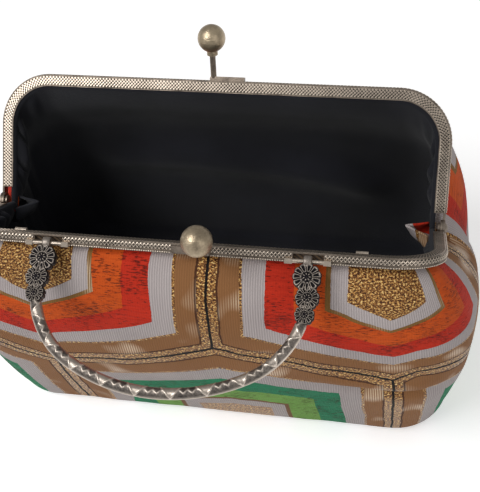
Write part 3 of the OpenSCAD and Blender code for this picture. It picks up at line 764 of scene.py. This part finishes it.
def wallPlace(w, t, inset, out, footInset, low, hem, swell, side=front):
    rim, foot = rimPlace(w, inset, out), baseFlat(w, footInset)
    turn = math.pi / 2 * smooth(w / bag["roundShare"])
    most = lerp(bag["sideBelly"], bag["belly"], smooth(w / bag["roundShare"]))
    rise = bag["bellyRise"]
    if side == back:  # the back hangs straighter beside its leg
        rise = lerp(rise, bag["backRise"], smooth(w / 0.14) * smooth((0.6 - w) / 0.25))
        most = lerp(bag["sideBelly"], bag["backSide"], smooth(w / 0.14))
        most = lerp(most, bag["belly"], smooth((w - 0.36) / 0.34))
    bulge = swell * most * math.sin(math.pi * t ** rise) * smooth(t / hem)
    away = Vector((math.cos(turn), -math.sin(turn), 0))
    return Vector((lerp(rim.x, foot[0], t), lerp(rim.y, foot[1], t), lerp(rim.z, low, t))) + away * bulge, away


def softFoot(p, away, h, low):  # the lower edge is a soft fold, not a corner
    over = h - (p.z - low)
    return p - away * (h - math.sqrt(max(h * h - over * over, 0))) if over > 0 else p


def shellPoint(q, t, side):  # q runs from 1 at the right seam to -1 at the left one
    w, hand = 1 - abs(q), (1 if q >= 0 else -1)
    p, away = wallPlace(w, t, 0.0005, bag["clothOut"], 0.0, walls["hemZ"], 0.001, 1.0, side)
    seam = smooth(w / 0.03)
    x = hand * p.x
    near = (1 - t) ** 6 * smooth(t / 0.05)
    push = walls["pucker"] * near * math.sin(2 * math.pi * (hand * w * 0.16) / walls["puckerPitch"] * 2) * seam
    slow = walls["unevenness"] * noise.noise(Vector((x * 22, side * 3.1, p.z * 26)))
    push += slow * smooth(t / 0.1) * seam * smooth((1 - t) / 0.08)
    quick = 0.35 * walls["unevenness"] * noise.noise(Vector((x * 70, side * 5.3 + 2, p.z * 60)))
    push += quick * smooth(t / 0.1) * seam
    if side == front:
        along = (x - walls["creaseU"][0]) / (walls["creaseU"][1] - walls["creaseU"][0])
        if 0 < along < 1:
            line = walls["creaseV"] + 0.006 * along
            across = (0.092 - p.z) - line
            fade = smooth(min(along, 1 - along) / 0.3)
            push -= walls["creaseDepth"] * fade * math.exp(-(across / walls["creaseWide"]) ** 2)
            push += 0.5 * walls["creaseDepth"] * fade * math.exp(-((across + 0.009) / 0.006) ** 2)
    p = softFoot(p + away * push, away, walls["hemRound"], walls["hemZ"])
    return Vector((hand * p.x, p.y, p.z))


def mirrored(p, side):  # from the front wall to its own side
    return Vector((p.x, p.y if side == front else -p.y, p.z))


def shellPiece(name, side, material, replaced):
    columns, rows = 2 * walls["columns"] + 1, walls["rows"]
    points, lengthV = [], []
    for i in range(columns):
        q = 1 - i / walls["columns"]
        w, hand = 1 - abs(q), (1 if q >= 0 else -1)
        line = []
        for out, inset in walls["tuck"]:
            p = rimPlace(w, 0.0005 + inset, out)
            line.append(Vector((hand * p.x, p.y, p.z)))
        for j in range(rows):
            line.append(shellPoint(q, (j / (rows - 1)) ** walls["rowBias"], side))
        run, lengths = 0.0, [0.0]
        for a, b in zip(line, line[1:]):
            run += (b - a).length
            lengths.append(run)
        start = lengths[len(walls["tuck"])]
        lengthV += [value - start for value in lengths]
        points += [mirrored(p, side) for p in line]
    each = rows + len(walls["tuck"])
    reference = len(walls["tuck"]) + int(rows * 0.42)
    middle = walls["columns"]
    lengthU = [0.0] * columns
    for i in range(middle + 1, columns):
        lengthU[i] = lengthU[i - 1] - (points[i * each + reference] - points[(i - 1) * each + reference]).length
    for i in range(middle - 1, -1, -1):
        lengthU[i] = lengthU[i + 1] + (points[i * each + reference] - points[(i + 1) * each + reference]).length
    faces = gridFaces(columns, each)
    if side == front:
        faces = [f[::-1] for f in faces]
        lengthV = [v + takenUp(lengthU[k // each], v) for k, v in enumerate(lengthV)]
    else:  # the pattern runs on round the right seam
        lengthU = [2 * lengthU[0] - u + walls["seamShift"] for u in lengthU]
    values = {"clothU": [u for u in lengthU for _ in range(each)], "clothV": lengthV}
    piece = makePiece(name, points, faces, material, values)
    thicken(piece, walls["sheetThick"])
    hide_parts(replaced)
    blendSoft(piece)
    return piece


def blendSoft(piece):
    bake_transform(piece)


frontShell = shellPiece("frontShell", front, frontBrocade, "front_panel")
backShell = shellPiece("backShell", back, frontBrocade, "back_panel")

# underside: the cloth turned in over the board
points, lengthU, lengthV = [], [], []
rings = ((0.0054, 0.0001), (0.0075, -0.00002), (0.012, 0.0), (0.03, 0.0), (0.05, 0.0))
for inset, z in rings:
    for i in range(around):
        x, y = aroundBase(i, min(inset, bag["baseR"] - 0.001))
        if inset > bag["baseR"]:
            x, y = x * (1 - inset * 8), y * (1 - inset * 8)
        points.append(Vector((x, y, z)))
        lengthU.append(x)
        lengthV.append(0.135 + 0.054 + y)
points.append(Vector((0, 0, 0)))
lengthU.append(0)
lengthV.append(0.189)
faces = [f[::-1] for f in ringFaces(len(rings), around)]
last = (len(rings) - 1) * around
faces += [(last + (i + 1) % around, last + i, len(points) - 1) for i in range(around)]
baseCloth = makePiece("baseCloth", points, faces, frontBrocade, {"clothU": lengthU, "clothV": lengthV})
settle(baseCloth, "bag", "base_brocade", "base_panel")

# side pleats: the cloth folds inwards under each hinge
pleat = {"rows": 18, "columns": 18, "bottom": 0.0800, "top": 0.0955, "deep": {1: 0.0105, -1: 0.012},
         "half": 0.0066, "ringU": 0.184, "ringC": 0.35, "ringRise": 0.012}
for hand, label, cloth in ((1, "Right", frontBrocade), (-1, "Left", liningCloth)):
    points, lengthU, lengthV = [], [], []
    for j in range(pleat["rows"]):
        up = j / (pleat["rows"] - 1)
        z = lerp(pleat["bottom"], pleat["top"], up)
        t = min(max((bag["sideHigh"] - z) / bag["sideHigh"], 0.0), 1.0)
        wall, _ = wallPlace(0.0, t, 0.0005, bag["clothOut"], 0.0, 0.0, 0.001, 1.0)
        half = pleat["half"] * smooth(up * 1.6) * (1 - 0.45 * smooth((up - 0.7) / 0.3))
        for i in range(pleat["columns"]):
            c = 2 * i / (pleat["columns"] - 1) - 1
            fold = (1 - abs(c)) ** 1.1
            deep = pleat["deep"][hand] * up ** 0.8 * fold
            wave = 0.0006 * noise.noise(Vector((c * 3, up * 5, hand)))
            points.append(Vector((hand * (wall.x - 0.0013 - deep + wave), c * half, z + 0.0022 * fold * up)))
            lengthU.append(pleat["ringU"] + (c - pleat["ringC"]) * pleat["ringRise"])
            lengthV.append(bag["sideHigh"] - z)
    faces = gridFaces(pleat["rows"], pleat["columns"])
    if hand < 0:
        faces = [f[::-1] for f in faces]
    piece = makePiece("sidePleat" + label, points, faces, cloth, {"clothU": lengthU, "clothV": lengthV})
    thicken(piece, 0.0008, 0)
    settle(piece, "bag", "front_brocade" if cloth == frontBrocade else "lining_cloth")

# gores: cloth behind each side seam, which shows where the walls part as the bag closes
gore = {"rows": 30, "columns": 31, "reach": 0.2, "top": 0.02, "slope": 1.5, "foot": 0.985, "out": 0.0042,
        "footInset": 0.0020, "swell": 0.93, "ripple": 0.0005}
for hand, label in ((1, "Right"), (-1, "Left")):
    points, lengthU, lengthV = [], [], []
    for i in range(gore["columns"]):
        q = 2 * i / (gore["columns"] - 1) - 1
        w, side = abs(q) * gore["reach"], (front if q < 0 else back)
        for j in range(gore["rows"]):
            t = lerp(gore["top"] + gore["slope"] * w, gore["foot"], j / (gore["rows"] - 1))
            p, away = wallPlace(w, t, 0.0005, gore["out"], gore["footInset"], walls["hemZ"], 0.001, gore["swell"],
                                side)
            p = p - away * gore["ripple"] * (1 + math.sin(q * 14 + 3 * t))
            p = softFoot(p, away, walls["hemRound"], walls["hemZ"])
            points.append(mirrored(Vector((hand * p.x, p.y, p.z)), side))
            lengthU.append(hand * 0.150 + points[-1].y)
            lengthV.append(bag["sideHigh"] - p.z)
    faces = gridFaces(gore["columns"], gore["rows"])
    if hand > 0:
        faces = [f[::-1] for f in faces]
    piece = makePiece("sideGore" + label, points, faces, frontBrocade, {"clothU": lengthU, "clothV": lengthV})
    thicken(piece, 0.0006, 0)
    settle(piece, "bag", "front_brocade")
print("stage: brocade ready")

# lining: hangs inside the walls and gathers beside the legs
inside = {
    "columns": 110, "rows": 64, "rowBias": 1.3, "inset": 0.0009, "out": 0.0016, "footInset": 0.0026,
    "floor": 0.0048,
    "footRound": 0.006, "tuck": ((0.0012, -0.0008), (0.0012, 0.0002)),
    "hem": 0.35, "swell": 0.8, "gather": 0.0056, "gatherCount": 13, "gatherW": 0.22, "thick": 0.0006,
    "sagDepth": 0.0060, "sagWide": 0.010,
}


def liningPiece(name, side):
    columns, rows = 2 * inside["columns"] + 1, inside["rows"]
    points = []
    for i in range(columns):
        q = 1 - i / inside["columns"]
        w, hand = 1 - abs(q), (1 if q >= 0 else -1)
        for out, inset in inside["tuck"]:
            p = rimPlace(w, inset, out)
            points.append(mirrored(Vector((hand * p.x, p.y, p.z)), side))
        for j in range(rows):
            t = (j / (rows - 1)) ** inside["rowBias"]
            p, away = wallPlace(w, t, inside["inset"], inside["out"], inside["footInset"], inside["floor"],
                                inside["hem"], inside["swell"], side)
            x = hand * p.x
            seam = smooth(w / 0.03)
            nearLeg = smooth(1 - abs(w - inside["gatherW"]) / inside["gatherW"])
            nearLeg *= (1 - t) ** 1.6 * smooth(t / 0.05)
            size = inside["gather"] * (1.25 if hand < 0 else 0.7)
            phase = inside["gatherCount"] * w + 1.2 * noise.noise(Vector((w * 9, hand * 2.0, side)))
            push = size * nearLeg * (math.sin(2 * math.pi * phase) - 1) / 2 * seam
            uneven = 0.5 + 0.5 * noise.noise(Vector((x * 26, side * 4.0, p.z * 22)))
            push -= 0.0016 * uneven * smooth(t / 0.15) * seam
            if side == back:
                line = 0.066 - 0.010 * (x / 0.09) ** 2 - 0.08 * x
                sag = inside["sagDepth"] * math.exp(-((p.z - line) / inside["sagWide"]) ** 2)
                push -= sag * smooth((0.086 - abs(x)) / 0.03)
            p = softFoot(p + away * push, away, inside["footRound"], inside["floor"])
            points.append(mirrored(Vector((hand * p.x, p.y, p.z)), side))
    faces = gridFaces(columns, rows + len(inside["tuck"]))
    if side == back:
        faces = [f[::-1] for f in faces]
    piece = makePiece(name, points, faces, liningCloth)
    thicken(piece, inside["thick"])
    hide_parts("lining")
    blendSoft(piece)
    return piece


liningPiece("frontLining", front)
liningPiece("backLining", back)
points, floorRings = [], 14
for r in range(floorRings):
    share = 1 - r / floorRings
    for i in range(around):
        x, y = aroundBase(i, inside["footInset"] + 0.0052)
        x, y = x * share, y * share
        ripple = 0.0008 * (0.5 + 0.5 * noise.noise(Vector((x * 25, y * 25, 1))))
        points.append(Vector((x, y, inside["floor"] + 0.0004 + ripple)))
points.append(Vector((0, 0, inside["floor"] + 0.001)))
faces = ringFaces(floorRings, around)
last = (floorRings - 1) * around
faces += [(last + i, last + (i + 1) % around, len(points) - 1) for i in range(around)]
liningFloor = makePiece("liningFloor", points, faces, liningCloth)
settle(liningFloor, "bag", "lining_cloth", "lining")
print("stage: lining ready")
